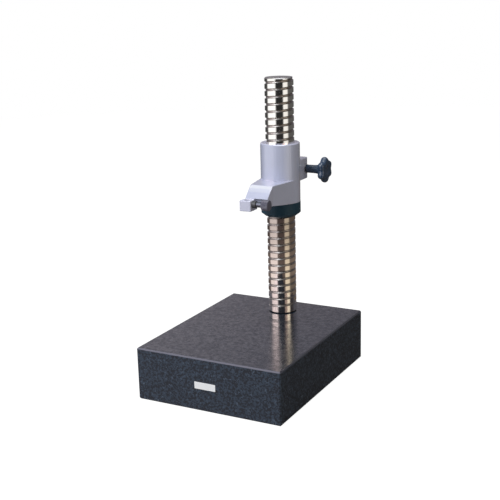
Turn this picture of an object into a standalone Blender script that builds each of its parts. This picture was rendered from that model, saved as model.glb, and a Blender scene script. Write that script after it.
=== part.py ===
"""Comparator stand: granite base, grooved column, ring nut and a clamped arm with a gauge holder.

Metres, +Z up. The origin is the middle of the base's underside, +X is to the right and +Y to the back.
"""

import math

import bmesh
import bpy
from mathutils import Vector

# Clearances shared by all pieces
gap = 0.0003  # between faces that meet on the real stand
overrun = 0.002  # how far a cutter runs past what it cuts
weld = 0.000001  # points closer than this are one

# Granite base
base_width = 0.200
base_depth = 0.250
base_height = 0.068
base_chamfer = 0.0016

# Column
column_radius = 0.019
column_height = 0.317  # above the granite
column_inset = 0.040  # from the base's back edge to the column's axis
column_chamfer = 0.0012
groove_pitch = 0.0094
groove_width = 0.0034
groove_depth = 0.0017
groove_foot = 0.007  # plain rod left above the granite
groove_mark_height = 0.310  # above the granite, where the groove crosses the mark angle
groove_mark_angle = math.radians(-153.5)
runout_turns = 0.25  # how much of a turn the groove takes to reach its depth

# Fixing under the column
bolt_radius = 0.006
bolt_reach = 0.030  # into the column
bolt_head_radius = 0.009
bolt_head_height = 0.012
bolt_socket_width = 0.010
bolt_socket_depth = 0.006
bolt_washer_radius = 0.012
bolt_washer_thickness = 0.0025
lock_washer_radius = 0.0105
lock_washer_thickness = 0.002
recess_radius = 0.014
recess_depth = 0.020

# Bracket
rest_height = 0.153  # of the barrel's lower end above the granite
barrel_radius = 0.0262
barrel_length = 0.079
barrel_chamfer = 0.0012
slot_width = 0.003
lug_width = 0.0416
lug_height = 0.0293
lug_rise = 0.0396  # of the lugs' middle above the barrel's lower end
lug_reach = 0.041  # from the column's axis to the lugs' back face
lug_root = 0.016  # from the column's axis, inside the barrel's wall
lug_rounding = 0.0015
stud_reach = 0.035  # from the column's axis to the clamp stud's axis
stud_rise = 0.039  # of the clamp stud's axis above the barrel's lower end
arm_rise = 0.031  # of the arm's flat top above the barrel's lower end
arm_reach = 0.055  # from the column's axis to the end of the flat top
arm_rounding = 0.0008
nose_reach = 0.071
nose_rise = 0.015
nose_width = 0.0322
ramp_bulge = 0.0006  # how far the ramp's middle stands proud of a straight one
lip_rise = 0.012  # of the rebate that takes the gauge holder
web_reach = 0.062  # from the column's axis to the front of the web
web_front_rise = 0.0055
web_root_rise = 0.001
web_root_reach = 0.025
side_inset = 0.0004  # the arm's sides run this far inside a line that just touches the barrel

# Thrust washer and ring nut
thrust_radius = 0.0235
thrust_thickness = 0.002
nut_radius = 0.0264
nut_height = 0.0182
nut_chamfer_height = 0.0039
nut_chamfer_inset = 0.005
nut_rim = 0.0005

# Gauge holder
stem_radius = 0.004  # standard stem of a dial gauge
stem_reach = 0.0752  # from the column's axis to the stem bore
stem_shift = -0.01075  # of the stem bore from the arm's middle plane
holder_width = 0.016
holder_height = 0.014
holder_front_wall = 0.0021
holder_rounding = 0.0008
screw_radius = 0.0015
screw_head_radius = 0.00275
screw_head_height = 0.003
screw_socket_width = 0.0025
screw_socket_depth = 0.0015
screw_shift = 0.0032  # from the stem bore, to the right
screw_setback = 0.0091  # from the stem bore, to the back
screw_reach = 0.0044  # into the nose
dowel_radius = 0.001
dowel_shift = -0.0028
dowel_setback = 0.0082
dowel_reach = 0.003
dowel_depth = 0.0067

# Thumb screw
thumb_rise = 0.009  # of its axis above the holder's underside
bush_radius = 0.0048
bush_flange = 0.0057
bush_spigot_radius = 0.0036
bush_spigot = 0.0022
bush_rounding = 0.0006
thumb_radius = 0.0025
thumb_neck_radius = 0.0035
thumb_neck = 0.008
thumb_tang_radius = 0.0028
thumb_tang = 0.0075
thumb_head_radius = 0.007
thumb_head_length = 0.0096
thumb_head_rounding = 0.0008
thumb_flutes = 24
thumb_flute_depth = 0.00045
thumb_relief = 0.0012  # room between the head and the nose
pad_radius = 0.0025
pad_length = 0.0014

# Clamp knob
stud_radius = 0.003
stud_end = 0.0015  # from the stud's tip to the left lug's face
clamp_washer_radius = 0.006
clamp_washer_thickness = 0.0012
neck_radius = 0.0055
hub_radius = 0.0068
neck_length = 0.0214
flare_share = 0.45  # of the neck, where it starts to widen
knob_radius = 0.0173
knob_valley = 0.0032
knob_thickness = 0.009
knob_lobes = 6
dome_share = 0.8  # of the head's half thickness, how far its faces draw in
insert_radius = 0.0045
insert_length = 0.012
insert_setback = 0.0115  # from the knob's foot to the insert

# Facets
round_steps = 48
small_steps = 24
groove_steps = 24  # facets in one turn of the groove
groove_facets = 3  # facets across the groove
lobe_steps = 8  # facets in one lobe
dome_steps = 3  # rings that round each face of the star knob
ramp_steps = 4
meeting_cuts = ("bracket_body", "gauge_holder")  # pieces whose cuts run into each other

# Places worked out from the sizes
column_y = base_depth / 2 - column_inset
column_foot = base_height + gap
column_top = base_height + column_height
barrel_low = base_height + rest_height
barrel_high = barrel_low + barrel_length
nut_top = barrel_low - gap
nut_low = nut_top - nut_height
nose_y = column_y - nose_reach
web_y = column_y - web_reach
stem_y = column_y - stem_reach
lip_z = barrel_low + lip_rise
holder_top = barrel_low + nose_rise
holder_low = holder_top - holder_height
holder_front = stem_y - stem_radius - holder_front_wall
holder_right = stem_shift + holder_width / 2
thumb_z = holder_low + thumb_rise
lug_face = lug_width / 2
stud_y = column_y + stud_reach
stud_z = barrel_low + stud_rise


def clear_scene():
    for old in list(bpy.data.objects):
        bpy.data.objects.remove(old, do_unlink=True)


def make_material(name, colour, roughness, metallic=0.0):
    made = bpy.data.materials.new(name)
    made.use_nodes = True
    shader = made.node_tree.nodes["Principled BSDF"]
    shader.inputs["Base Color"].default_value = (*colour, 1.0)
    shader.inputs["Roughness"].default_value = roughness
    shader.inputs["Metallic"].default_value = metallic
    return made


def add_object(name, shape, finish=None, place=(0, 0, 0), smooth_angle=35):
    """Makes one object of a bmesh, with its faces pointing out."""
    bmesh.ops.remove_doubles(shape, verts=shape.verts, dist=weld)
    bmesh.ops.recalc_face_normals(shape, faces=shape.faces)
    mesh = bpy.data.meshes.new(name)
    shape.to_mesh(mesh)
    shape.free()
    mesh.shade_smooth()
    mesh.set_sharp_from_angle(angle=math.radians(smooth_angle))
    made = bpy.data.objects.new(name, mesh)
    made.location = place
    bpy.context.collection.objects.link(made)
    if finish:
        mesh.materials.append(finish)
    else:
        made.hide_render = True
        made.display_type = "WIRE"
    return made


def turned(outline, steps):
    """Spins (radius, height) points about Z; points at radius zero close the shape there."""
    shape = bmesh.new()
    points = [shape.verts.new((radius, 0, height)) for radius, height in outline]
    edges = []
    for first, second in zip(points, points[1:] + points[:1]):
        if first.co.x > 0 or second.co.x > 0:
            edges.append(shape.edges.new((first, second)))
    bmesh.ops.spin(
        shape,
        geom=points + edges,
        cent=(0, 0, 0),
        axis=(0, 0, 1),
        angle=math.tau,
        steps=steps,
        use_merge=True,
    )
    return shape


def extruded(outline, start, end, along="z"):
    """A prism with the outline in the plane square to one axis, from start to end along it."""
    shape = bmesh.new()
    spots = {
        "x": lambda a, b: (start, a, b),
        "z": lambda a, b: (a, b, start),
    }
    path = {"x": Vector((end - start, 0, 0)), "z": Vector((0, 0, end - start))}
    face = shape.faces.new([shape.verts.new(spots[along](a, b)) for a, b in outline])
    grown = bmesh.ops.extrude_face_region(shape, geom=[face])
    moved = [item for item in grown["geom"] if isinstance(item, bmesh.types.BMVert)]
    bmesh.ops.translate(shape, verts=moved, vec=path[along])
    return shape


def rod(radius, start, end, steps=small_steps):
    return turned([(0, start), (radius, start), (radius, end), (0, end)], steps)


def hexagon(width):
    """Corners of a hexagon with this width across its flats."""
    corner = width / 2 / math.cos(math.pi / 6)
    turns = [math.tau * i / 6 for i in range(6)]
    return [(corner * math.cos(turn), corner * math.sin(turn)) for turn in turns]


def outer_radius(radius, steps):
    """Radius of a faceted bore's corners, so that its flats stay outside the radius."""
    return radius / math.cos(math.pi / steps)


def combine(target, other, operation):
    """Joins or cuts. Where cuts run into each other, EXACT leaves open edges and MANIFOLD none."""
    step = target.modifiers.new(operation.title(), "BOOLEAN")
    step.operation = operation
    step.solver = "MANIFOLD" if target.name in meeting_cuts else "EXACT"
    step.object = other


def cut(target, *cutters):
    for cutter in cutters:
        combine(target, cutter, "DIFFERENCE")


def soften(target, width, segments=2):
    step = target.modifiers.new("Soften", "BEVEL")
    step.width = width
    step.segments = segments
    step.limit_method = "ANGLE"


def lie_along_x(target):
    """Turns a shape made along Z so that it lies along +X."""
    target.rotation_euler = (0, math.pi / 2, 0)
    return target


def arc_between(start, end, sag, steps):
    """Points after start up to end on a curve whose middle lies sag to the left of the straight line."""
    ahead = Vector(end) - Vector(start)
    side = Vector((-ahead.y, ahead.x)).normalized()
    points = []
    for i in range(1, steps + 1):
        share = i / steps
        point = Vector(start) + ahead * share + side * sag * 4 * share * (1 - share)
        points.append(tuple(point))
    return points


def touching_point(centre, radius, point):
    """Where a line from the point touches the circle, on the side of larger x."""
    away = Vector(point) - Vector(centre)
    turn = math.atan2(away.y, away.x) + math.acos(radius / away.length)
    return centre[0] + radius * math.cos(turn), centre[1] + radius * math.sin(turn)


def grooved_rod(radius, width, depth, low, high):
    """A rod along Z with the helical half-round groove; heights are world heights."""
    shape = bmesh.new()
    profile = []
    for i in range(groove_facets + 1):
        turn = math.pi * (i / groove_facets - 0.5)
        profile.append((math.sin(turn) * width / 2, math.cos(turn) * depth))
    mark = base_height + groove_mark_height
    turns_below = math.ceil((mark - low) / groove_pitch) + 1
    turns_above = math.ceil((high - mark) / groove_pitch) + 1
    foot = base_height + groove_foot
    rows = []
    for i in range((turns_below + turns_above) * groove_steps + 1):
        turns = i / groove_steps - turns_below
        angle = groove_mark_angle + math.tau * turns
        height = mark + groove_pitch * turns
        full = min(max((height - foot) / (groove_pitch * runout_turns), 0), 1)
        row = []
        for along, deep in profile:
            spot = radius - deep * full
            row.append(
                shape.verts.new(
                    (spot * math.cos(angle), spot * math.sin(angle), height + along)
                )
            )
        rows.append(row)
    for i, (row, following) in enumerate(zip(rows, rows[1:])):
        for j in range(groove_facets):
            shape.faces.new((row[j], following[j], following[j + 1], row[j + 1]))
        if i + 1 + groove_steps < len(rows):
            above = rows[i + groove_steps]
            above_next = rows[i + 1 + groove_steps]
            shape.faces.new((row[-1], following[-1], above_next[0], above[0]))
    for height, side in ((low, -1), (high, 1)):
        bmesh.ops.bisect_plane(
            shape,
            geom=shape.verts[:] + shape.edges[:] + shape.faces[:],
            dist=weld,
            plane_co=(0, 0, height),
            plane_no=(0, 0, side),
            clear_outer=True,
        )
    open_edges = [edge for edge in shape.edges if edge.is_boundary]
    bmesh.ops.holes_fill(shape, edges=open_edges, sides=0)
    return shape


def cap_screw(radius, reach, head_radius, head_height, socket_width, socket_depth, name, finish):
    """A socket head screw along +Z: its head's outer face is at height zero."""
    end = head_height + reach
    outline = [
        (0, 0),
        (head_radius, 0),
        (head_radius, head_height),
        (radius, head_height),
        (radius, end),
        (0, end),
    ]
    screw = add_object(name, turned(outline, small_steps), finish)
    socket = extruded(hexagon(socket_width), -overrun, socket_depth)
    cutter = add_object(name + "_socket", socket)
    cutter.parent = screw
    cut(screw, cutter)
    return screw


def flat_ring(name, finish, inner, outer, low, high, steps=round_steps):
    outline = [(inner, low), (outer, low), (outer, high), (inner, high)]
    return add_object(name, turned(outline, steps), finish)


def build_base(finish):
    half_x = base_width / 2
    half_y = base_depth / 2
    corners = [(-half_x, -half_y), (half_x, -half_y), (half_x, half_y), (-half_x, half_y)]
    base = add_object("granite_base", extruded(corners, 0, base_height), finish)
    soften(base, base_chamfer, segments=1)
    place = (0, column_y, 0)
    hole = rod(bolt_radius + gap, -overrun, base_height + overrun)
    recess = rod(recess_radius, -overrun, recess_depth, round_steps)
    cut(base, add_object("base_bolt_hole", hole, place=place))
    cut(base, add_object("base_recess", recess, place=place))


def build_column(finish):
    place = (0, column_y, 0)
    low = column_foot - overrun
    high = column_top + overrun
    shape = grooved_rod(column_radius, groove_width, groove_depth, low, high)
    column = add_object("column", shape, finish, place)
    wide = column_radius + overrun
    envelope = [
        (0, column_foot),
        (wide, column_foot),
        (wide, column_top - column_chamfer - overrun),
        (column_radius - column_chamfer, column_top),
        (0, column_top),
    ]
    trim = add_object("column_trim", turned(envelope, round_steps), place=place)
    combine(column, trim, "INTERSECT")
    tapped = rod(bolt_radius + gap, low, column_foot + bolt_reach + overrun)
    cut(column, add_object("column_bolt_hole", tapped, place=place))


def build_column_fixing(steel, dark_steel):
    place = (0, column_y, 0)
    plain_top = recess_depth - gap
    plain_low = plain_top - bolt_washer_thickness
    lock_top = plain_low - gap
    lock_low = lock_top - lock_washer_thickness
    inner = bolt_radius + gap
    plain = flat_ring("bolt_washer", steel, inner, bolt_washer_radius, plain_low, plain_top)
    lock = flat_ring("lock_washer", steel, inner, lock_washer_radius, lock_low, lock_top)
    plain.location = place
    lock.location = place
    head_low = lock_low - gap - bolt_head_height
    reach = column_foot + bolt_reach - lock_low + gap
    bolt = cap_screw(
        bolt_radius,
        reach,
        bolt_head_radius,
        bolt_head_height,
        bolt_socket_width,
        bolt_socket_depth,
        "column_bolt",
        dark_steel,
    )
    bolt.location = (0, column_y, head_low)


def build_nut_and_washer(nut_finish, washer_finish):
    place = (0, column_y, 0)
    outline = [
        (0, nut_low),
        (nut_radius - nut_chamfer_inset, nut_low),
        (nut_radius, nut_low + nut_chamfer_height),
        (nut_radius, nut_top - nut_rim),
        (nut_radius - nut_rim, nut_top),
        (0, nut_top),
    ]
    nut = add_object("ring_nut", turned(outline, round_steps), nut_finish, place)
    bore = outer_radius(column_radius + gap, groove_steps)
    mating = grooved_rod(
        bore,
        groove_width - 2 * gap,
        groove_depth,
        nut_low - overrun,
        nut_top + overrun,
    )
    cut(nut, add_object("nut_thread", mating, place=place))
    ring = flat_ring(
        "thrust_washer",
        washer_finish,
        outer_radius(column_radius + gap, round_steps),
        thrust_radius,
        barrel_low,
        barrel_low + thrust_thickness,
    )
    ring.location = place


def arm_solid():
    """The arm as a helper: its side view, kept only inside its plan view."""
    flat_y = column_y - arm_reach
    flat_z = barrel_low + arm_rise
    nose_z = barrel_low + nose_rise
    side = [(column_y, flat_z), (flat_y, flat_z)]
    side += arc_between((flat_y, flat_z), (nose_y, nose_z), -ramp_bulge, ramp_steps)
    side += [
        (nose_y, lip_z),
        (web_y, lip_z),
        (web_y, barrel_low + web_front_rise),
        (column_y - web_root_reach, barrel_low + web_root_rise),
        (column_y, barrel_low + web_root_rise),
    ]
    arm = add_object("arm_side_view", extruded(side, -barrel_radius, barrel_radius, "x"))
    half = nose_width / 2
    touch = touching_point((0, column_y), barrel_radius - side_inset, (half, flat_y))
    right = [(half, nose_y - overrun), (half, flat_y), touch, (touch[0], column_y + overrun)]
    left = [(-x, y) for x, y in reversed(right)]
    plan = extruded(right + left, barrel_low - overrun, flat_z + overrun)
    combine(arm, add_object("arm_plan_view", plan), "INTERSECT")
    soften(arm, arm_rounding)
    return arm


def lug_solid():
    low = barrel_low + lug_rise - lug_height / 2
    corners = [
        (-lug_face, column_y + lug_root),
        (lug_face, column_y + lug_root),
        (lug_face, column_y + lug_reach),
        (-lug_face, column_y + lug_reach),
    ]
    lugs = add_object("lug_block", extruded(corners, low, low + lug_height))
    soften(lugs, lug_rounding)
    return lugs


def build_bracket(finish):
    place = (0, column_y, 0)
    rim = barrel_radius - barrel_chamfer
    outline = [
        (0, barrel_low),
        (barrel_radius, barrel_low),
        (barrel_radius, barrel_high - barrel_chamfer),
        (rim, barrel_high),
        (0, barrel_high),
    ]
    bracket = add_object("bracket_body", turned(outline, round_steps), finish, place)
    combine(bracket, arm_solid(), "UNION")
    combine(bracket, lug_solid(), "UNION")
    low = barrel_low - overrun
    high = barrel_high + overrun
    bore = rod(outer_radius(column_radius + gap, round_steps), low, high, round_steps)
    seat_radius = outer_radius(thrust_radius + gap, round_steps)
    seat = rod(seat_radius, low, barrel_low + thrust_thickness + gap, round_steps)
    half_slot = slot_width / 2
    slot_end = column_y + lug_reach + overrun
    slot = extruded(
        [
            (-half_slot, column_y),
            (half_slot, column_y),
            (half_slot, slot_end),
            (-half_slot, slot_end),
        ],
        low,
        high,
    )
    cut(bracket, add_object("barrel_bore", bore, place=place))
    cut(bracket, add_object("barrel_seat", seat, place=place))
    cut(bracket, add_object("clamp_slot", slot))
    through = lug_face + overrun
    stud_hole = add_object("stud_hole", rod(stud_radius + gap, -through, through))
    stud_hole.location = (0, stud_y, stud_z)
    cut(bracket, lie_along_x(stud_hole))
    nose_half = nose_width / 2
    relief = rod(
        thumb_head_radius + thumb_relief,
        holder_right - gap,
        nose_half + overrun,
        round_steps,
    )
    relief = add_object("thumb_relief", relief, place=(0, stem_y, thumb_z))
    cut(bracket, lie_along_x(relief))
    for name, radius, shift, setback, reach in (
        ("nose_screw_hole", screw_radius, screw_shift, screw_setback, screw_reach),
        ("nose_dowel_hole", dowel_radius, dowel_shift, dowel_setback, dowel_reach),
    ):
        hole = rod(radius + gap, lip_z - overrun, lip_z + reach + gap)
        spot = (stem_shift + shift, stem_y + setback, 0)
        cut(bracket, add_object(name, hole, place=spot))


def build_holder(finish, dark_steel, steel):
    back = web_y - gap
    tongue_top = lip_z - gap
    step_y = nose_y - gap
    side = [
        (holder_front, holder_low),
        (back, holder_low),
        (back, tongue_top),
        (step_y, tongue_top),
        (step_y, holder_top),
        (holder_front, holder_top),
    ]
    left = stem_shift - holder_width / 2
    holder = add_object("gauge_holder", extruded(side, left, holder_right, "x"), finish)
    soften(holder, holder_rounding)
    low = holder_low - overrun
    stem = rod(stem_radius, low, holder_top + overrun, round_steps)
    cut(holder, add_object("stem_bore", stem, place=(stem_shift, stem_y, 0)))
    pad_hole = rod(pad_radius + gap, stem_shift, holder_right + overrun)
    bush_hole = rod(
        bush_spigot_radius + gap,
        holder_right - bush_spigot - gap,
        holder_right + overrun,
    )
    for name, hole in (("pad_hole", pad_hole), ("bush_hole", bush_hole)):
        cutter = add_object(name, hole, place=(0, stem_y, thumb_z))
        cut(holder, lie_along_x(cutter))
    screw_spot = (stem_shift + screw_shift, stem_y + screw_setback, 0)
    shank_hole = rod(screw_radius + gap, low, tongue_top + overrun)
    head_seat = holder_low + gap + screw_head_height + gap
    head_hole = rod(screw_head_radius + gap, low, head_seat)
    cut(holder, add_object("holder_shank_hole", shank_hole, place=screw_spot))
    cut(holder, add_object("holder_head_hole", head_hole, place=screw_spot))
    dowel_spot = (stem_shift + dowel_shift, stem_y + dowel_setback, 0)
    dowel_low = tongue_top - dowel_depth
    dowel_hole = rod(dowel_radius + gap, dowel_low - gap, tongue_top + overrun)
    cut(holder, add_object("holder_dowel_hole", dowel_hole, place=dowel_spot))
    head_low = holder_low + gap
    screw = cap_screw(
        screw_radius,
        lip_z + screw_reach - head_low - screw_head_height,
        screw_head_radius,
        screw_head_height,
        screw_socket_width,
        screw_socket_depth,
        "holder_screw",
        dark_steel,
    )
    screw.location = (screw_spot[0], screw_spot[1], head_low)
    dowel = rod(dowel_radius, dowel_low, lip_z + dowel_reach)
    add_object("holder_dowel", dowel, steel, dowel_spot)


def build_thumb_screw(dark_steel, steel, brass, black):
    place = (0, stem_y, thumb_z)
    seat = holder_right + gap
    inner = thumb_radius + gap
    bush = [
        (inner, seat - gap - bush_spigot),
        (bush_spigot_radius, seat - gap - bush_spigot),
        (bush_spigot_radius, seat),
        (bush_radius, seat),
        (bush_radius, seat + bush_flange - bush_rounding),
        (bush_radius - bush_rounding, seat + bush_flange),
        (inner, seat + bush_flange),
    ]
    lie_along_x(add_object("screw_bush", turned(bush, small_steps), dark_steel, place))
    pad_start = stem_shift + stem_radius
    pad = rod(pad_radius, pad_start, pad_start + pad_length)
    lie_along_x(add_object("pressure_pad", pad, brass, place))
    neck_start = seat + bush_flange + gap
    head_start = neck_start + thumb_neck
    tip = pad_start + pad_length + gap
    screw = [
        (0, tip),
        (thumb_radius, tip),
        (thumb_radius, neck_start),
        (thumb_neck_radius, neck_start),
        (thumb_neck_radius, head_start - gap),
        (thumb_tang_radius, head_start - gap),
        (thumb_tang_radius, head_start + thumb_tang),
        (0, head_start + thumb_tang),
    ]
    lie_along_x(add_object("thumb_screw", turned(screw, small_steps), steel, place))
    head = add_object("thumb_head", fluted_head(head_start), black, place)
    socket = rod(thumb_tang_radius + gap, head_start - overrun, head_start + thumb_tang + gap)
    cutter = lie_along_x(add_object("thumb_socket", socket, place=place))
    cut(lie_along_x(head), cutter)


def fluted_head(start):
    """The knurled head along Z: rings of an outline with shallow flutes."""
    end = start + thumb_head_length
    rounding = thumb_head_rounding
    rings = [
        (start, rounding),
        (start + rounding, 0),
        (end - rounding, 0),
        (end, rounding),
    ]
    steps = thumb_flutes * 2
    return ringed(
        [
            [
                (
                    thumb_head_radius - inset - thumb_flute_depth * (i % 2),
                    math.tau * i / steps,
                    height,
                )
                for i in range(steps)
            ]
            for height, inset in rings
        ]
    )


def ringed(rings):
    """Joins rings of (radius, angle, height) points into one closed shape along Z."""
    shape = bmesh.new()
    rows = []
    for ring in rings:
        row = []
        for radius, angle, height in ring:
            spot = (radius * math.cos(angle), radius * math.sin(angle), height)
            row.append(shape.verts.new(spot))
        rows.append(row)
    count = len(rows[0])
    for row, following in zip(rows, rows[1:]):
        for i in range(count):
            j = (i + 1) % count
            shape.faces.new((row[i], row[j], following[j], following[i]))
    shape.faces.new(rows[0])
    shape.faces.new(rows[-1])
    return shape


def star_head(middle):
    """The knob's head along Z: a lobed outline, rounded over towards both faces."""
    count = knob_lobes * lobe_steps
    half = knob_thickness / 2
    rings = []
    for i in range(-dome_steps, dome_steps + 1):
        turn = i / dome_steps * math.pi / 2
        height = middle + half * math.sin(turn)
        inset = half * (1 - math.cos(turn)) * dome_share
        ring = []
        for j in range(count):
            angle = math.tau * j / count
            lobe = (1 - math.cos(knob_lobes * angle)) / 2
            ring.append((knob_radius - knob_valley * lobe - inset, angle, height))
        rings.append(ring)
    return ringed(rings)


def build_clamp_knob(steel, brass, black):
    place = (0, stud_y, stud_z)
    seat = lug_face + gap
    washer = [
        (stud_radius + gap, seat),
        (clamp_washer_radius, seat),
        (clamp_washer_radius, seat + clamp_washer_thickness),
        (stud_radius + gap, seat + clamp_washer_thickness),
    ]
    lie_along_x(add_object("clamp_washer", turned(washer, small_steps), steel, place))
    foot = seat + clamp_washer_thickness + gap
    hub = foot + neck_length
    middle = hub + knob_thickness / 2
    insert_start = foot + insert_setback
    insert_end = insert_start + insert_length
    neck = [
        (0, foot),
        (neck_radius, foot),
        (neck_radius, foot + neck_length * flare_share),
        (hub_radius, hub),
        (hub_radius, middle),
        (0, middle),
    ]
    knob = add_object("star_knob", star_head(middle), black, place)
    neck = add_object("knob_neck", turned(neck, small_steps), place=place)
    combine(lie_along_x(knob), lie_along_x(neck), "UNION")
    stud_end_x = insert_end - gap
    channel = rod(stud_radius + gap, foot - overrun, insert_start + overrun)
    chamber = rod(insert_radius + gap, insert_start - gap, insert_end + gap)
    for name, hollow in (("knob_channel", channel), ("knob_chamber", chamber)):
        cut(knob, lie_along_x(add_object(name, hollow, place=place)))
    insert = [
        (stud_radius + gap, insert_start),
        (insert_radius, insert_start),
        (insert_radius, insert_end),
        (stud_radius + gap, insert_end),
    ]
    lie_along_x(add_object("knob_insert", turned(insert, small_steps), brass, place))
    stud = rod(stud_radius, stud_end - lug_face, stud_end_x)
    lie_along_x(add_object("clamp_stud", stud, steel, place))


def build():
    clear_scene()
    granite = make_material("granite", (0.045, 0.047, 0.055), 0.18)
    chrome = make_material("chrome", (0.78, 0.77, 0.75), 0.08, 1.0)
    paint = make_material("bracket_paint", (0.52, 0.53, 0.62), 0.38)
    black_steel = make_material("black_steel", (0.018, 0.022, 0.028), 0.32, 0.6)
    steel = make_material("steel", (0.55, 0.56, 0.58), 0.3, 1.0)
    brass = make_material("brass", (0.72, 0.52, 0.25), 0.3, 1.0)
    holder_finish = make_material("holder_metal", (0.55, 0.55, 0.62), 0.4, 0.3)
    plastic = make_material("black_plastic", (0.02, 0.024, 0.032), 0.35)
    build_base(granite)
    build_column(chrome)
    build_column_fixing(steel, black_steel)
    build_nut_and_washer(black_steel, brass)
    build_bracket(paint)
    build_holder(holder_finish, black_steel, steel)
    build_thumb_screw(black_steel, steel, brass, plastic)
    build_clamp_knob(steel, brass, plastic)


build()
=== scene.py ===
import math

import bmesh
import bpy
from mathutils import Matrix, Vector


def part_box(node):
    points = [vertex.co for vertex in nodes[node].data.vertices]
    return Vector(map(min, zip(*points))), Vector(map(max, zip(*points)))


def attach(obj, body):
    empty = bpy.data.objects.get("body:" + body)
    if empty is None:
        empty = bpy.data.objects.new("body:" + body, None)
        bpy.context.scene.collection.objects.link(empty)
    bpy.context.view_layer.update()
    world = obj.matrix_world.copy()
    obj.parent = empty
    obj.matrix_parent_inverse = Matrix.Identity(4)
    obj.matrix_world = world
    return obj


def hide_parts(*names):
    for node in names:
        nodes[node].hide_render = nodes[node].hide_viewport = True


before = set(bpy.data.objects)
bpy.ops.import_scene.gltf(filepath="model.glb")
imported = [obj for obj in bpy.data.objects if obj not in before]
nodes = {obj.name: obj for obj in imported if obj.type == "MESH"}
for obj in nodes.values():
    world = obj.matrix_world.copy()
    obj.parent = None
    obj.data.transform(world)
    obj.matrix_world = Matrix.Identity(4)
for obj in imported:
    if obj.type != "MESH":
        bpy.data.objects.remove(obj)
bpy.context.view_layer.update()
print("frame loaded:", len(nodes), "nodes")


# Sockets as values

def findSocket(sockets, key):
    if isinstance(key, int):
        return sockets[key]
    for socket in sockets:
        if socket.identifier == key:
            return socket
    return sockets[key]


class Wire:
    # an output socket that can stand in sums
    def __init__(self, maker, socket):
        self.maker = maker
        self.socket = socket

    def __add__(self, other):
        return self.maker.maths("ADD", self, other)

    def __sub__(self, other):
        return self.maker.maths("SUBTRACT", self, other)

    def __rsub__(self, other):
        return self.maker.maths("SUBTRACT", other, self)

    def __mul__(self, other):
        return self.maker.maths("MULTIPLY", self, other)

    def __truediv__(self, other):
        return self.maker.maths("DIVIDE", self, other)

    def __rtruediv__(self, other):
        return self.maker.maths("DIVIDE", other, self)

    def __pow__(self, other):
        return self.maker.maths("POWER", self, other)

    __radd__ = __add__
    __rmul__ = __mul__

    def output(self, key):
        return Wire(self.maker, findSocket(self.socket.node.outputs, key))


class Maker:
    # adds nodes to one tree and hands back their outputs
    def __init__(self, tree):
        self.tree = tree

    def add(self, kind, settings=None, inputs=None, output=0):
        made = self.tree.nodes.new(kind)
        for name, value in (settings or {}).items():
            if name == "stops":
                fillRamp(made.color_ramp, value)
            else:
                setattr(made, name, value)
        for key, value in (inputs or {}).items():
            self.feed(findSocket(made.inputs, key), value)
        return Wire(self, findSocket(made.outputs, output))

    def feed(self, socket, value):
        if isinstance(value, Wire):
            self.tree.links.new(value.socket, socket)
        else:
            socket.default_value = value

    def maths(self, operation, *values):
        settings = {"operation": operation}
        return self.add("ShaderNodeMath", settings, dict(enumerate(values)))

    def vectors(self, operation, *values, output=0):
        settings = {"operation": operation}
        return self.add("ShaderNodeVectorMath", settings, dict(enumerate(values)), output)

    def mix(self, share, first, second):
        inputs = {"Factor_Float": share, "A_Color": first, "B_Color": second}
        return self.add("ShaderNodeMix", {"data_type": "RGBA"}, inputs, "Result_Color")

    def parts(self, vector):
        split = self.add("ShaderNodeSeparateXYZ", {}, {0: vector})
        return split, split.output(1), split.output(2)

    def between(self, value, low, high):
        # 0 at low and below, 1 at high and above, smooth between them
        settings = {"interpolation_type": "SMOOTHSTEP"}
        inputs = {"Value": value, "From Min": low, "From Max": high}
        return self.add("ShaderNodeMapRange", settings, inputs)

    def noise(self, place, size, detail=2.0, stretch=(1, 1, 1)):
        vector = self.vectors("MULTIPLY", place, stretch)
        inputs = {"Vector": vector, "Scale": 1 / size, "Detail": detail}
        return self.add("ShaderNodeTexNoise", {}, inputs)

    def bump(self, height, strength, distance):
        inputs = {"Height": height, "Strength": strength, "Distance": distance}
        return self.add("ShaderNodeBump", {}, inputs)


def fillRamp(ramp, stops):
    while len(ramp.elements) < len(stops):
        ramp.elements.new(1.0)
    for element, (share, colour) in zip(ramp.elements, stops):
        element.position = share
        element.color = colour


def rgb(red, green, blue):
    return (red, green, blue, 1.0)


def grey(level):
    return rgb(level, level, level)


# Finishes

def newMaterial(name, look, sizes):
    made = bpy.data.materials.new(name)
    made.use_nodes = True
    maker = Maker(made.node_tree)
    place = maker.add("ShaderNodeTexCoord", output="Object")
    shader = made.node_tree.nodes["Principled BSDF"]
    for key, value in look(maker, place, sizes).items():
        maker.feed(shader.inputs[key], value)
    return made


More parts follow.
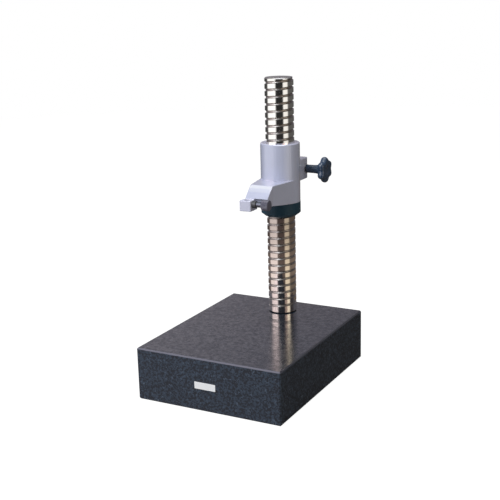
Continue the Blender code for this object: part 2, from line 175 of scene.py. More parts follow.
# In every dict of sizes, relief is the strength and the distance of a bump.
graniteSizes = {
    "grain": 0.0017,
    "wander": 0.9,  # how far the grains' borders are bent, in grains
    "wanderSize": 1.5,  # and the size of the bends, in grains too
    "blotch": 0.005,
    "grainShare": 0.72,  # how much the grains and the blotches count in the colour
    "blotchShare": 0.36,
    "dark": rgb(0.006, 0.011, 0.02),
    "middle": rgb(0.026, 0.041, 0.066),
    "light": rgb(0.088, 0.12, 0.175),
    "stops": ((0.0, "dark"), (0.45, "dark"), (0.62, "middle"), (0.84, "middle"), (1.0, "light")),
    "edge": rgb(0.04, 0.042, 0.056),
    "wornEdge": rgb(0.11, 0.11, 0.148),  # painted highlight: the front chamfer made lighter, where the light from the front catches it
    "topTilt": (0.8, 0.95),  # upward part of the normal, where the top starts and where it is full
    "edgeTilt": (0.4, 0.6),  # the same for the chamfers
    "frontTilt": (0.3, 0.6),  # forward part of it, for the front chamfer's painted highlight
    "ground": 0.6,
    "refraction": 1.38,
    "relief": (0.12, 0.0001),
    "lapped": 0.8,  # how far the lapped top is darker than the ground sides
    "polish": 0.165,  # roughness of the lapped top and of its coat
    "polishRefraction": 1.7,
    "coat": 0.2,
    "coatGrain": 0.55,  # what the grains and the blotches add to the coat
    "coatBlotch": 0.45,
    "coatLimits": (0.38, 0.62),  # of the blotches, where that starts and where it is full
}


def graniteLook(maker, place, sizes):
    wander = maker.noise(place, sizes["grain"] * sizes["wanderSize"], detail=1.0).output("Color")
    reach = sizes["grain"] * sizes["wander"]
    bent = maker.vectors("ADD", place, maker.vectors("MULTIPLY", wander, (reach, reach, reach)))
    inputs = {"Vector": bent, "Scale": 1 / sizes["grain"]}
    cells = maker.add("ShaderNodeTexVoronoi", {}, inputs, "Color")
    draw = maker.parts(cells)[0]
    blotch = maker.noise(place, sizes["blotch"], detail=3.0)
    mixed = draw * sizes["grainShare"] + blotch * sizes["blotchShare"]
    stops = [(share, sizes[tone]) for share, tone in sizes["stops"]]
    colour = maker.add("ShaderNodeValToRGB", {"stops": stops}, {"Fac": mixed})
    normal = maker.add("ShaderNodeNewGeometry", output="Normal")
    back, up = maker.parts(normal)[1:]
    flat = maker.between(up, *sizes["topTilt"])
    side = 1 - flat
    chamfer = maker.between(up, *sizes["edgeTilt"]) * side
    # forward-facing chamfers get a painted highlight, a lighter colour where the light from the
    # front catches the edge
    front = maker.between(0 - back, *sizes["frontTilt"])
    edge = maker.mix(front, sizes["edge"], sizes["wornEdge"])
    colour = maker.mix(flat * sizes["lapped"], colour, sizes["dark"])
    coat = sizes["coat"] + draw * sizes["coatGrain"]
    coat = coat + maker.between(blotch, *sizes["coatLimits"]) * sizes["coatBlotch"]
    return {
        "Base Color": maker.mix(chamfer, colour, edge),
        "Roughness": sizes["ground"] + flat * (sizes["polish"] - sizes["ground"]),
        "IOR": sizes["refraction"],
        "Coat Weight": flat * coat,
        "Coat Roughness": sizes["polish"],
        "Coat IOR": sizes["polishRefraction"],
        "Normal": maker.bump(draw * side, *sizes["relief"]),
    }


chromeSizes = {
    "colour": rgb(0.8, 0.79, 0.77),
    "groove": rgb(0.29, 0.285, 0.28),
    "end": rgb(0.3, 0.3, 0.31),  # the turned face and chamfer at the top
    "shine": 0.06,
    "grooveShine": 0.38,
    "endShine": 0.45,
    "grooveDepths": (0.0009, 0.0001),  # in from the surface: the groove's look is full, and starts
    "endDepths": (0.0013, 0.00104),  # down from the top: the end's look starts, and is full
    "smudge": 0.012,
    "smudgeShine": 0.05,
    "line": 0.0006,  # fine marks round the rod
    "lineStretch": (0.04, 0.04, 1),
    "relief": (0.05, 0.00003),
}


def chromeLook(maker, place, sizes):
    x, y, z = maker.parts(place)
    across = y - columnMiddle.y
    radius = (x * x + across * across) ** 0.5
    full, start = sizes["grooveDepths"]
    inGroove = 1 - maker.between(radius, columnRadius - full, columnRadius - start)
    start, full = sizes["endDepths"]
    atEnd = maker.between(z, columnHigh.z - start, columnHigh.z - full)
    smudge = maker.noise(place, sizes["smudge"], detail=3.0)
    lines = maker.noise(place, sizes["line"], detail=1.0, stretch=sizes["lineStretch"])
    colour = maker.mix(inGroove, sizes["colour"], sizes["groove"])
    plain = sizes["shine"] + smudge * sizes["smudgeShine"]
    ground = plain + inGroove * (sizes["grooveShine"] - sizes["shine"])
    return {
        "Base Color": maker.mix(atEnd, colour, sizes["end"]),
        "Metallic": 1.0,
        "Roughness": ground + atEnd * (sizes["endShine"] - ground),
        "Normal": maker.bump(lines, *sizes["relief"]),
    }


paintSizes = {
    "colour": rgb(0.485, 0.512, 0.678),
    "shade": rgb(0.444, 0.468, 0.606),
    "cloud": 0.02,
    "cloudShine": 0.08,
    "peel": 0.0011,
    "shine": 0.2,
    "refraction": 1.55,
    "relief": (0.14, 0.0001),
    "lacquer": 0.8,
    "lacquerShine": 0.12,
    "lacquerRefraction": 1.65,
}


def paintLook(maker, place, sizes):
    cloud = maker.noise(place, sizes["cloud"], detail=3.0)
    peel = maker.noise(place, sizes["peel"])
    return {
        "Base Color": maker.mix(cloud, sizes["shade"], sizes["colour"]),
        "Roughness": sizes["shine"] + cloud * sizes["cloudShine"],
        "IOR": sizes["refraction"],
        "Coat Weight": sizes["lacquer"],
        "Coat Roughness": sizes["lacquerShine"],
        "Coat IOR": sizes["lacquerRefraction"],
        "Normal": maker.bump(peel, *sizes["relief"]),
    }


alongX = (1, 0.03, 0.03)
alongZ = (0.03, 0.03, 1)
turnedSizes = {
    "metal": 1.0,
    "refraction": 1.5,
    "ring": 0.0003,
    "ringShine": 0.1,
    "stain": 0.004,
    "relief": (0.12, 0.00003),
}
steelSizes = {
    **turnedSizes,
    "colour": rgb(0.58, 0.59, 0.61),
    "dark": rgb(0.46, 0.47, 0.49),
    "shine": 0.24,
}
brassSizes = {
    **turnedSizes,
    "colour": rgb(0.74, 0.54, 0.26),
    "dark": rgb(0.58, 0.39, 0.17),
    "shine": 0.28,
}
thumbSteelSizes = {
    **turnedSizes,
    "colour": rgb(0.11, 0.12, 0.15),
    "dark": rgb(0.075, 0.085, 0.11),
    "shine": 0.42,
}
blackSteelSizes = {
    **turnedSizes,
    "colour": rgb(0.045, 0.05, 0.06),
    "dark": rgb(0.03, 0.034, 0.042),
    "metal": 0.2,
    "shine": 0.36,
    "ring": 0.0004,
}
nutSizes = {
    **turnedSizes,
    "colour": rgb(0.015, 0.052, 0.085),
    "dark": rgb(0.01, 0.037, 0.062),
    "metal": 0.0,
    "shine": 0.42,
    "refraction": 1.3,
    "ring": 0.0006,
}
holderSizes = {
    **turnedSizes,
    "colour": rgb(0.565, 0.585, 0.735),
    "dark": rgb(0.505, 0.52, 0.65),
    "metal": 0.1,
    "shine": 0.5,
    "ring": 0.0004,
}


def turnedLook(maker, place, sizes):
    # rings from the lathe tool along the piece's own axis
    rings = maker.noise(place, sizes["ring"], detail=1.0, stretch=sizes["along"])
    stain = maker.noise(place, sizes["stain"])
    return {
        "Base Color": maker.mix(stain, sizes["dark"], sizes["colour"]),
        "Metallic": sizes["metal"],
        "Roughness": sizes["shine"] + rings * sizes["ringShine"],
        "IOR": sizes["refraction"],
        "Normal": maker.bump(rings, *sizes["relief"]),
    }


mouldedSizes = {
    "refraction": 1.5,
    "cloud": 0.006,
    "cloudShine": 0.1,
    "skin": 0.0005,
    "relief": (0.08, 0.00004),
}
thumbHeadSizes = {
    **mouldedSizes,
    "colour": rgb(0.1, 0.1, 0.145),
    "dark": rgb(0.07, 0.07, 0.1),
    "shine": 0.42,
}
plasticSizes = {
    **mouldedSizes,
    "colour": rgb(0.011, 0.039, 0.09),
    "dark": rgb(0.006, 0.026, 0.062),
    "shine": 0.36,
    "refraction": 1.7,
}
plateSizes = {
    **mouldedSizes,
    "colour": rgb(0.9, 0.91, 0.95),
    "dark": rgb(0.83, 0.84, 0.88),
    "shine": 0.4,
    "skin": 0.0004,
}


def mouldedLook(maker, place, sizes):
    cloud = maker.noise(place, sizes["cloud"])
    skin = maker.noise(place, sizes["skin"], detail=1.0)
    return {
        "Base Color": maker.mix(cloud, sizes["dark"], sizes["colour"]),
        "Roughness": sizes["shine"] + cloud * sizes["cloudShine"],
        "IOR": sizes["refraction"],
        "Normal": maker.bump(skin, *sizes["relief"]),
    }


columnLow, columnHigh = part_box("column")
columnMiddle = (columnLow + columnHigh) / 2
columnRadius = (columnHigh.x - columnLow.x) / 2

granite = newMaterial("graniteFinish", graniteLook, graniteSizes)
chrome = newMaterial("chromeFinish", chromeLook, chromeSizes)
paint = newMaterial("bracketPaint", paintLook, paintSizes)
plastic = newMaterial("blackPlastic", mouldedLook, plasticSizes)
plateWhite = newMaterial("whitePlate", mouldedLook, plateSizes)
thumbPlastic = newMaterial("thumbHeadBlack", mouldedLook, thumbHeadSizes)


def newTurned(name, sizes, along):
    return newMaterial(name, turnedLook, {**sizes, "along": along})


steelX = newTurned("steelAlongX", steelSizes, alongX)
steelZ = newTurned("steelAlongZ", steelSizes, alongZ)
thumbSteel = newTurned("thumbSteel", thumbSteelSizes, alongX)
brassX = newTurned("brassAlongX", brassSizes, alongX)
brassZ = newTurned("brassAlongZ", brassSizes, alongZ)
blackSteelX = newTurned("blackSteelAlongX", blackSteelSizes, alongX)
blackSteelZ = newTurned("blackSteelAlongZ", blackSteelSizes, alongZ)
nutBlack = newTurned("ringNutBlack", nutSizes, alongZ)
holderSatin = newTurned("holderSatin", holderSizes, alongX)
print("finishes made")

cadFinishes = {
    "granite_base": granite,
    "column": chrome,
    "column_bolt": blackSteelZ,
    "lock_washer": steelZ,
    "bolt_washer": steelZ,
    "thrust_washer": brassZ,
    "ring_nut": nutBlack,
    "bracket_body": paint,
    "gauge_holder": holderSatin,
    "holder_screw": blackSteelZ,
    "holder_dowel": steelZ,
    "screw_bush": blackSteelX,
    "pressure_pad": brassX,
    "thumb_screw": thumbSteel,
    "thumb_head": thumbPlastic,
    "clamp_washer": steelX,
    "clamp_stud": steelX,
    "knob_insert": brassX,
    "star_knob": plastic,
}
for name, finish in cadFinishes.items():
    for slot in nodes[name].material_slots:
        slot.material = finish
print("frame finished:", len(cadFinishes), "nodes")


# Geometry Nodes trees

seamGap = 0.000008  # points this close are one, at the seams and poles of a grid
socketKinds = {
    float: "NodeSocketFloat",
    int: "NodeSocketInt",
    tuple: "NodeSocketVector",
    bpy.types.Material: "NodeSocketMaterial",
}


def newTree(name, sizes):
    tree = bpy.data.node_groups.new(name, "GeometryNodeTree")
    sides = tree.interface
    sides.new_socket("Geometry", in_out="INPUT", socket_type="NodeSocketGeometry")
    for key, value in sizes.items():
        kind = next(kind for sort, kind in socketKinds.items() if isinstance(value, sort))
        sides.new_socket(key, in_out="INPUT", socket_type=kind)
    sides.new_socket("Geometry", in_out="OUTPUT", socket_type="NodeSocketGeometry")
    maker = Maker(tree)
    first = maker.add("NodeGroupInput")
    given = {key: Wire(maker, first.socket.node.outputs[key]) for key in ["Geometry", *sizes]}
    return maker, given


def choose(test, ifTrue, ifFalse):
    return test * ifTrue + (1 - test) * ifFalse


def placeAndEnd(maker, given, grid, radius, angle, height):
    # puts the grid's points where the rule says and closes the tree
    across = radius * maker.maths("COSINE", angle)
    beside = radius * maker.maths("SINE", angle)
    upright = maker.add("ShaderNodeCombineXYZ", {}, {0: across, 1: beside, 2: height})
    lying = maker.add("ShaderNodeCombineXYZ", {}, {0: height, 1: across, 2: beside})
    inputs = {"Factor_Float": given["Lying"], "A_Vector": upright, "B_Vector": lying}
    spot = maker.add("ShaderNodeMix", {"data_type": "VECTOR"}, inputs, "Result_Vector")
    spot = maker.vectors("ADD", spot, given["Place"])
    shaped = maker.add("GeometryNodeSetPosition", {}, {"Geometry": grid, "Position": spot})
    merged = maker.add("GeometryNodeMergeByDistance", {}, {"Geometry": shaped, "Distance": seamGap})
    real = maker.add("GeometryNodeRealizeInstances", {}, {0: merged})
    inputs = {"Geometry": real, "Material": given["Finish"]}
    painted = maker.add("GeometryNodeSetMaterial", {}, inputs)
    end = maker.tree.nodes.new("NodeGroupOutput")
    maker.tree.links.new(painted.socket, end.inputs[0])
    return maker.tree


def unitGrid(maker, rows, around):
    inputs = {"Size X": 1.0, "Size Y": 1.0, "Vertices X": rows, "Vertices Y": around + 1}
    return maker.add("GeometryNodeMeshGrid", {}, inputs)


def groovedRodTree(sizes):
    # rows run along the helix, so the groove's edges stay crisp
    maker, given = newTree("groovedRod", sizes)
    grooveRows, landRows = 8, 4
    turnRows = grooveRows + landRows
    # first the bore's middle, end and mouth and the foot, last the top's rim and middle
    firstRows, lastRows = 4, 2
    pitch, width, mark = given["Pitch"], given["Groove Width"], given["Mark Height"]
    below = maker.maths("CEIL", (mark - given["Low"]) / pitch) + 1
    above = maker.maths("CEIL", (given["High"] - mark) / pitch) + 1
    total = (below + above) * turnRows + 1 + firstRows + lastRows
    grid = unitGrid(maker, total, given["Around"])
    u, v = maker.parts(maker.add("GeometryNodeInputPosition"))[:2]
    row = maker.maths("ROUND", (u + 0.5) * (total - 1))

    def inFirst(count):
        return maker.maths("LESS_THAN", row, count - 0.5)

    def inLast(count):
        return maker.maths("GREATER_THAN", row, total - (count + 0.5))

    turn = v + 0.5
    bodyRow = row - firstRows
    whole = maker.maths("FLOOR", bodyRow / turnRows)
    inTurn = bodyRow - whole * turnRows
    grooveShare = maker.maths("MINIMUM", inTurn / grooveRows, 1.0)
    landShare = maker.maths("MAXIMUM", inTurn - grooveRows, 0.0) / landRows
    offset = maker.maths("COSINE", grooveShare * math.pi) * width * -0.5
    offset = offset + (pitch - width) * landShare
    shoulder = given["High"] - given["Chamfer"]
    height = mark + pitch * (whole - below + turn) + offset
    height = maker.maths("MAXIMUM", height, given["Low"] + given["Chamfer"])
    height = maker.maths("MINIMUM", height, shoulder)
    phase = maker.maths("FRACT", (height - mark) / pitch - turn + 0.5) - 0.5
    fromGroove = phase * pitch
    started = (height - fromGroove - given["Foot"]) / (pitch * given["Runout Turns"])
    started = maker.maths("MINIMUM", maker.maths("MAXIMUM", started, 0.0), 1.0)
    side = maker.maths("MINIMUM", maker.maths("ABSOLUTE", fromGroove * 2 / width), 1.0)
    power = given["Roundness"]
    deep = (1 - side ** power) ** (1 / power) * given["Groove Depth"] * started
    body = given["Radius"] - deep
    rim = maker.maths("MINIMUM", body, given["Radius"] - given["Chamfer"])
    isTop, isTopMiddle = inLast(lastRows), inLast(lastRows - 1)
    isFoot, isBore = inFirst(firstRows), inFirst(firstRows - 1)
    isBoreEnd, isBoreMiddle = inFirst(firstRows - 2), inFirst(firstRows - 3)
    radius = choose(maker.maths("MAXIMUM", isTop, isFoot), rim, body)
    radius = choose(isBore, given["Bore Radius"], radius)
    radius = radius * (1 - isTopMiddle) * (1 - isBoreMiddle)
    height = choose(isTop, given["High"], height)
    height = choose(isFoot, given["Low"] + isBoreEnd * given["Bore Depth"], height)
    angle = given["Mark Angle"] + turn * math.tau
    return placeAndEnd(maker, given, grid, radius, angle, height)


def turnedShapeTree(sizes):
    # each base point is a radius, how much of the lobes it takes, and a height
    maker, given = newTree("turnedShape", sizes)
    count = maker.add("GeometryNodeAttributeDomainSize", {}, {"Geometry": given["Geometry"]})
    grid = unitGrid(maker, count, given["Around"])
    position = maker.add("GeometryNodeInputPosition")
    u, v = maker.parts(position)[:2]
    row = maker.maths("ROUND", (u + 0.5) * (count - 1))
    settings = {"data_type": "FLOAT_VECTOR", "domain": "POINT"}
    inputs = {"Geometry": given["Geometry"], "Value": position, "Index": row}
    point = maker.add("GeometryNodeSampleIndex", settings, inputs)
    radius, share, height = maker.parts(point)
    angle = (v + 0.5) * math.tau
    wave = (1 - maker.maths("COSINE", (angle - given["First Angle"]) * given["Lobes"])) * 0.5
    radius = radius - wave * share * given["Lobe Depth"]
    return placeAndEnd(maker, given, grid, radius, angle, height)


def makePiece(name, tree, sizes, outline=(), sharpFrom=35):
    # runs a tree on its outline and keeps the result as a plain mesh, sharp from so many degrees
    mesh = bpy.data.meshes.new(name)
    mesh.from_pydata(outline, [(i, i + 1) for i in range(len(outline) - 1)], [])
    piece = bpy.data.objects.new(name, mesh)
    bpy.context.scene.collection.objects.link(piece)
    step = piece.modifiers.new("Rule", "NODES")
    step.node_group = tree
    for socket in tree.interface.items_tree:
        if socket.in_out == "INPUT" and socket.name in sizes:
            step[socket.identifier] = sizes[socket.name]
    graph = bpy.context.evaluated_depsgraph_get()
    plain = bpy.data.meshes.new_from_object(piece.evaluated_get(graph))
    piece.modifiers.clear()
    piece.data = plain
    tidy = bmesh.new()
    tidy.from_mesh(plain)
    bmesh.ops.recalc_face_normals(tidy, faces=tidy.faces)
    openEdges = sum(1 for edge in tidy.edges if not edge.is_manifold)
    tidy.to_mesh(plain)
    tidy.free()
    plain.shade_smooth()
    plain.set_sharp_from_angle(angle=math.radians(sharpFrom))
    print(name, "made:", len(plain.polygons), "faces,", openEdges, "open edges")
    return piece


columnSizes = {
    "Radius": columnRadius,
    "Low": columnLow.z,
    "High": columnHigh.z,
    "Chamfer": 0.0012,
    "Pitch": 0.0094,
    "Groove Width": 0.0034,
    "Groove Depth": 0.0017,
    "Roundness": 2.0,
    "Mark Height": 0.378,  # of a point on the groove's middle, whose angle follows
    "Mark Angle": math.radians(-153.5),
    "Foot": 0.075,  # where the groove starts to run out
    "Runout Turns": 0.25,
    "Bore Radius": 0.0063,
    "Bore Depth": 0.032,
    "Lying": 0.0,
    "Around": 96,
    "Place": (columnMiddle.x, columnMiddle.y, 0.0),
    "Finish": chrome,
}
rodTree = groovedRodTree(columnSizes)
column = makePiece("columnGrooved", rodTree, columnSizes)
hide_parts("column")
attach(column, "stand")

studLow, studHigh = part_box("clamp_stud")
studMiddle = (studLow + studHigh) / 2
studSizes = {
    "Radius": (studHigh.z - studLow.z) / 2,
    "Low": studLow.x,
    "High": studHigh.x,
    "Chamfer": 0.0005,
    "Pitch": 0.001,
    "Groove Width": 0.00088,
    "Groove Depth": 0.00055,
    "Roundness": 1.0,
    "Mark Height": studMiddle.x,
    "Mark Angle": 0.0,
    "Foot": studLow.x,
    "Runout Turns": 1.0,
    "Bore Radius": 0.0,
    "Bore Depth": 0.0,
    "Lying": 1.0,
    "Around": 24,
    "Place": (0.0, studMiddle.y, studMiddle.z),
    "Finish": steelX,
}
stud = makePiece("clampStudThread", rodTree, studSizes, sharpFrom=25)
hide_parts("clamp_stud")
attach(stud, "clamp_knob")

knobLow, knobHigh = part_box("star_knob")
knobMiddle = (knobLow + knobHigh) / 2
knobShape = {
    "channel": 0.0033,
    "chamber": 0.0048,
    "chamberStart": 0.0112,
    "chamberEnd": 0.0238,
    "neckRadius": 0.0055,
    "neckLength": 0.0214,
    "footEdge": 0.0004,
    "flareStart": 0.0096,
    "flareSteps": 6,
    "flarePower": 1.6,
    "hubRadius": 0.0068,
    "headRadius": (knobHigh.z - knobLow.z) / 2,
    "underDraw": 0.003,
    "underLobes": 0.6,
    "domeDraw": 0.0036,
    "domeSteps": 8,
    "faceDraw": 0.003,
    "faceLobes": 0.3,
    "capRadius": 0.0052,
    "capDepth": 0.0004,
    "capEdge": 0.0004,
}


def knobOutline(shape):
    foot = knobLow.x
    face = knobHigh.x
    under = foot + shape["neckLength"]
    middle = (under + face) / 2
    half = (face - under) / 2
    neck = shape["neckRadius"]
    cap = shape["capRadius"]
    points = [
        (0, 0, foot + shape["chamberEnd"]),
        (shape["chamber"], 0, foot + shape["chamberEnd"]),
        (shape["chamber"], 0, foot + shape["chamberStart"]),
        (shape["channel"], 0, foot + shape["chamberStart"]),
        (shape["channel"], 0, foot),
        (neck - shape["footEdge"], 0, foot),
        (neck, 0, foot + shape["footEdge"]),
        (neck, 0, foot + shape["flareStart"]),
    ]
    for i in range(1, shape["flareSteps"] + 1):
        share = i / shape["flareSteps"]
        radius = neck + (shape["hubRadius"] - neck) * share ** shape["flarePower"]
        along = shape["flareStart"] + (under - foot - shape["flareStart"]) * share
        points.append((radius, 0, foot + along))
    radius = shape["headRadius"] - shape["domeDraw"] - shape["underDraw"]
    points.append((radius, shape["underLobes"], under))
    steps = shape["domeSteps"]
    for i in range(-steps, steps + 1):
        turn = i / steps * math.pi / 2
        radius = shape["headRadius"] - shape["domeDraw"] * (1 - math.cos(turn))
        points.append((radius, 1.0, middle + half * math.sin(turn)))
    points += [
        (cap + shape["faceDraw"], shape["faceLobes"], face),
        (cap + shape["capEdge"], 0, face),
        (cap, 0, face - shape["capDepth"]),
        (0, 0, face - shape["capDepth"]),
    ]
    return points


knobSizes = {
    "Lobes": 6.0,
    "Lobe Depth": 0.0032,
    "First Angle": math.pi / 6,
    "Lying": 1.0,
    "Around": 144,
    "Place": (0.0, knobMiddle.y, knobMiddle.z),
    "Finish": plastic,
}
shapeTree = turnedShapeTree(knobSizes)
knob = makePiece("starKnobMoulded", shapeTree, knobSizes, knobOutline(knobShape), sharpFrom=50)
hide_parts("star_knob")
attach(knob, "clamp_knob")

headLow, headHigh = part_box("thumb_head")
headMiddle = (headLow + headHigh) / 2
headShape = {
    "radius": (headHigh.z - headLow.z) / 2,
    "rounding": 0.0008,
    "roundPoint": 0.3,  # how far in the point halfway round lies, as a share of the rounding
    "roundLobes": 0.6,
    "socket": 0.0031,
    "socketDepth": 0.0078,
}


def headOutline(shape):
    foot = headLow.x
    face = headHigh.x
    radius = shape["radius"]
    edge = shape["rounding"]
    inset = edge * shape["roundPoint"]
    return [
        (0, 0, foot + shape["socketDepth"]),
        (shape["socket"], 0, foot + shape["socketDepth"]),
        (shape["socket"], 0, foot),
        (radius - edge, 0, foot),
        (radius - inset, shape["roundLobes"], foot + inset),
        (radius, 1, foot + edge),
        (radius, 1, face - edge),
        (radius - inset, shape["roundLobes"], face - inset),
        (radius - edge, 0, face),
        (0, 0, face),
    ]


headSizes = {
    **knobSizes,
    "Lobes": 36.0,
    "Lobe Depth": 0.00045,
    "First Angle": 0.0,
    "Around": 216,
    "Place": (0.0, headMiddle.y, headMiddle.z),
    "Finish": thumbPlastic,
}
head = makePiece("thumbHeadKnurled", shapeTree, headSizes, headOutline(headShape))
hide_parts("thumb_head")
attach(head, "thumb")


# Bare plate on the front of the granite

plateShape = {
    "middle": (-0.0023, 0.033),
    "width": 0.0292,
    "height": 0.0089,
    "corner": 0.0006,
    "cornerSteps": 4,
    "thickness": 0.0003,
    "edge": 0.0001,
    "edgeSteps": 2,
}


def buildPlate(shape):
    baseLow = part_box("granite_base")[0]
    middleX, middleZ = shape["middle"]
    halfWidth = shape["width"] / 2 - shape["corner"]
    halfHeight = shape["height"] / 2 - shape["corner"]
    outline = []
    for i, (sideX, sideZ) in enumerate(((1, 1), (-1, 1), (-1, -1), (1, -1))):
        for j in range(shape["cornerSteps"] + 1):
            turn = math.pi / 2 * (i + j / shape["cornerSteps"])
            x = middleX + sideX * halfWidth + shape["corner"] * math.cos(turn)
            z = middleZ + sideZ * halfHeight + shape["corner"] * math.sin(turn)
            outline.append((x, z))
    sheet = bmesh.new()
    face = sheet.faces.new([sheet.verts.new((x, baseLow.y, z)) for x, z in outline])
    grown = bmesh.ops.extrude_face_region(sheet, geom=[face])
    front = [item for item in grown["geom"] if isinstance(item, bmesh.types.BMVert)]
    bmesh.ops.translate(sheet, verts=front, vec=(0, -shape["thickness"], 0))
    bmesh.ops.recalc_face_normals(sheet, faces=sheet.faces)
    mesh = bpy.data.meshes.new("frontPlate")
    sheet.to_mesh(mesh)
    sheet.free()
    mesh.materials.append(plateWhite)
    plate = bpy.data.objects.new("frontPlate", mesh)
    bpy.context.scene.collection.objects.link(plate)
    edges = plate.modifiers.new("Edges", "BEVEL")
    edges.width = shape["edge"]
    edges.segments = shape["edgeSteps"]
    edges.limit_method = "ANGLE"
    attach(plate, "stand")


buildPlate(plateShape)
print("pieces made")


# Studio

# Only glossy rays see the tones below "ambient". A rise is the upward part of a direction, limits
# run from low to high, and a pair of tones is the one on the camera's left and the one on its right.
studio = {
    "floorRadius": 3.0,
    "floorSides": 96,
    "floorGlow": 0.96,
    "floorShade": grey(0.15),  # added to the glow, so that shadows show to the camera
    "floorColour": grey(0.4),  # for all other rays
    "ambient": rgb(0.262, 0.25, 0.226),
    "softBoxes": (  # degrees round from the first camera, to its right, and how much of the box
        (-180, 0.05),
        (-112, 0.05),
        (-98, 0.95),
        (-38, 1.0),
        (-26, 0.02),
        (24, 0.02),
        (34, 1.0),
        (63, 0.95),
        (74, 0.1),
        (180, 0.1),
    ),
    "rightTurns": (0.5, 0.6),  # turns round, where the left tone gives way to the right one
    "boxTones": (rgb(1.38, 1.37, 1.35), rgb(1.16, 1.12, 1.06)),
    "lowRises": (-0.22, -0.14),  # below it the boxes are dimmer and warmer
    "lowTones": (rgb(0.63, 0.54, 0.51), rgb(0.42, 0.345, 0.25)),
    "lowGlow": rgb(0.055, 0.038, 0.034),
    "lowLean": 0.015,  # how far round the boxes have moved there, in turns
    "nearRises": (-0.278, -0.24),  # and below it they are brighter again
    "nearTones": (rgb(0.945, 0.81, 0.767), rgb(0.8, 0.66, 0.48)),
    "bandRises": (-0.286, -0.278),  # lower side of a band of glow, whose upper side is nearRises
    "bandGlow": rgb(0.1, 0.072, 0.058),
    "horizon": (-0.02, 0.06),  # above it, the tones that follow
    "highTones": (rgb(3.6, 2.95, 2.9), rgb(1.7, 1.2, 0.96)),
    "highLean": 0.028,
    "topRises": (0.312, 0.36),  # where the boxes fade above
    "topTones": (rgb(1.5, 1.2, 1.2), rgb(0.2, 0.14, 0.12)),
    "wallDepths": (-0.3, 0.0),  # from the back wall to the boxes, in the direction of the camera
    "wallSides": (-0.16, 0.12),  # from the wall's left tone to its right one
    "wallTones": (rgb(0.46, 0.42, 0.46), rgb(0.27, 0.245, 0.275)),
    "ceilingRises": (0.6, 0.85),
    "ceiling": grey(0.24),
    "skyBox": rgb(2.9, 2.8, 1.9),  # a small box overhead, which whitens the ramp's upper end
    "skyBoxWay": (-0.46, -0.02, 0.887),
    "skyBoxEdge": (0.985, 0.998),  # cosine of its half width, and where it is full
}
cameraSizes = {
    "place": Vector((0.5833, -1.0837, 0.4989)),
    "ahead": Vector((-0.46, 0.8503, -0.2556)),
    "right": Vector((0.8824, 0.4699, -0.025)),
    "up": Vector((-0.0989, 0.237, 0.9665)),
    "lens": 71.7,
    "sensor": 36.0,
}
lamps = {
    "keyLamp": {
        "place": (-0.46, -1.3, 1.4),
        "power": 26.0,
        "width": 0.6,
        "tint": (0.95, 0.98, 1.0),
    },
    "topLamp": {
        "place": (0.0, 0.1, 1.65),
        "power": 11.0,
        "width": 0.9,
        "tint": (1.0, 1.0, 1.0),
    },
    "rightLamp": {
        "place": (1.3, -0.2, 0.6),
        "power": 2.1,
        "width": 0.6,
        "tint": (1.0, 0.91, 0.7),
    },
}
lampAim = Vector((0, 0, 0.18))


def buildCamera(sizes):
    data = bpy.data.cameras.new("photoCamera")
    data.lens = sizes["lens"]
    data.sensor_width = sizes["sensor"]
    camera = bpy.data.objects.new("photoCamera", data)
    bpy.context.scene.collection.objects.link(camera)
    turn = Matrix((sizes["right"], sizes["up"], -sizes["ahead"])).transposed()
    camera.matrix_world = Matrix.Translation(sizes["place"]) @ turn.to_4x4()
    bpy.context.scene.camera = camera


def buildLamps():
    for name, sizes in lamps.items():
        data = bpy.data.lights.new(name, "AREA")
        data.energy = sizes["power"]
        data.size = sizes["width"]
        data.color = sizes["tint"]
        lamp = bpy.data.objects.new(name, data)
        lamp.location = sizes["place"]
        lamp.rotation_mode = "QUATERNION"
        lamp.rotation_quaternion = (lampAim - lamp.location).to_track_quat("-Z", "Y")
        bpy.context.scene.collection.objects.link(lamp)


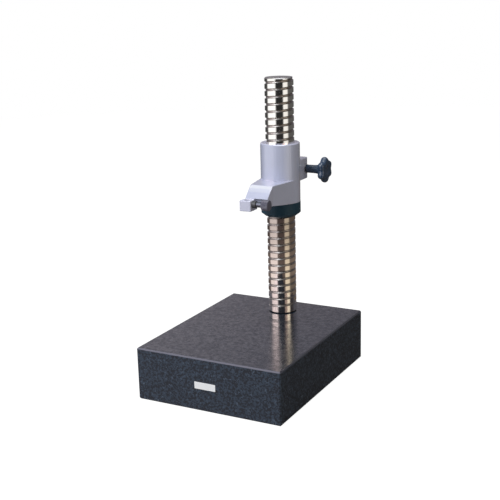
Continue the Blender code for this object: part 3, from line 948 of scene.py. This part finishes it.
def buildWorld():
    world = bpy.data.worlds.new("studioWorld")
    bpy.context.scene.world = world
    world.use_nodes = True
    world.cycles.sampling_method = "NONE"
    maker = Maker(world.node_tree)
    ahead = cameraSizes["ahead"]
    toCamera = Vector((-ahead.x, -ahead.y, 0)).normalized()
    toRight = Vector((-toCamera.y, toCamera.x, 0))
    way = maker.add("ShaderNodeTexCoord", output="Generated")
    forward = maker.vectors("DOT_PRODUCT", way, tuple(toCamera), output="Value")
    sideways = maker.vectors("DOT_PRODUCT", way, tuple(toRight), output="Value")
    rise = maker.parts(way)[2]
    low = 1 - maker.between(rise, *studio["lowRises"])
    near = 1 - maker.between(rise, *studio["nearRises"])
    band = near * maker.between(rise, *studio["bandRises"])
    high = maker.between(rise, *studio["horizon"])
    turn = maker.maths("ARCTAN2", sideways, forward) / math.tau + 0.5
    turn = turn + low * studio["lowLean"] + high * studio["highLean"]
    stops = [(angle / 360 + 0.5, grey(level)) for angle, level in studio["softBoxes"]]
    boxes = maker.add("ShaderNodeValToRGB", {"stops": stops}, {"Fac": turn})
    right = maker.between(turn, *studio["rightTurns"])

    def tone(pair):
        return maker.mix(right, *studio[pair])

    lowTone = maker.mix(near, tone("lowTones"), tone("nearTones"))
    under = maker.vectors("MULTIPLY", boxes, maker.mix(low, tone("boxTones"), lowTone))
    for share, glow in ((low, "lowGlow"), (band, "bandGlow")):
        under = maker.vectors("ADD", under, maker.mix(share, grey(0.0), studio[glow]))
    fading = maker.between(rise, *studio["topRises"])
    over = maker.vectors("MULTIPLY", boxes, maker.mix(fading, tone("highTones"), tone("topTones")))
    wall = maker.mix(maker.between(sideways, *studio["wallSides"]), *studio["wallTones"])
    over = maker.mix(maker.between(forward, *studio["wallDepths"]), wall, over)
    over = maker.mix(maker.between(rise, *studio["ceilingRises"]), over, studio["ceiling"])
    toSky = maker.vectors("DOT_PRODUCT", way, studio["skyBoxWay"], output="Value")
    over = maker.mix(maker.between(toSky, *studio["skyBoxEdge"]), over, studio["skyBox"])
    shiny = maker.mix(high, under, over)
    path = maker.add("ShaderNodeLightPath")
    colour = maker.mix(path.output("Is Glossy Ray"), studio["ambient"], shiny)
    colour = maker.mix(path.output("Is Camera Ray"), colour, grey(1.0))
    colour = maker.mix(path.output("Is Transmission Ray"), colour, grey(1.0))
    maker.feed(world.node_tree.nodes["Background"].inputs["Color"], colour)


def buildFloor():
    disc = bmesh.new()
    sides, radius = studio["floorSides"], studio["floorRadius"]
    bmesh.ops.create_circle(disc, cap_ends=True, radius=radius, segments=sides)
    mesh = bpy.data.meshes.new("studioFloor")
    disc.to_mesh(mesh)
    disc.free()
    finish = bpy.data.materials.new("floorWhite")
    finish.use_nodes = True
    maker = Maker(finish.node_tree)
    maker.tree.nodes.remove(maker.tree.nodes["Principled BSDF"])
    fromCamera = maker.add("ShaderNodeLightPath", output="Is Camera Ray")
    inputs = {"Color": grey(1.0), "Strength": studio["floorGlow"]}
    glow = maker.add("ShaderNodeEmission", {}, inputs)
    shade = maker.add("ShaderNodeBsdfDiffuse", {}, {"Color": studio["floorShade"]})
    seen = maker.add("ShaderNodeAddShader", {}, {0: glow, 1: shade})
    plain = maker.add("ShaderNodeBsdfDiffuse", {}, {"Color": studio["floorColour"]})
    both = maker.add("ShaderNodeMixShader", {}, {0: fromCamera, 1: plain, 2: seen})
    maker.feed(maker.tree.nodes["Material Output"].inputs["Surface"], both)
    mesh.materials.append(finish)
    floor = bpy.data.objects.new("studioFloor", mesh)
    floor.visible_glossy = False
    bpy.context.scene.collection.objects.link(floor)


buildCamera(cameraSizes)
buildLamps()
buildWorld()
buildFloor()
bpy.context.scene.view_settings.view_transform = "Standard"
print("studio made")
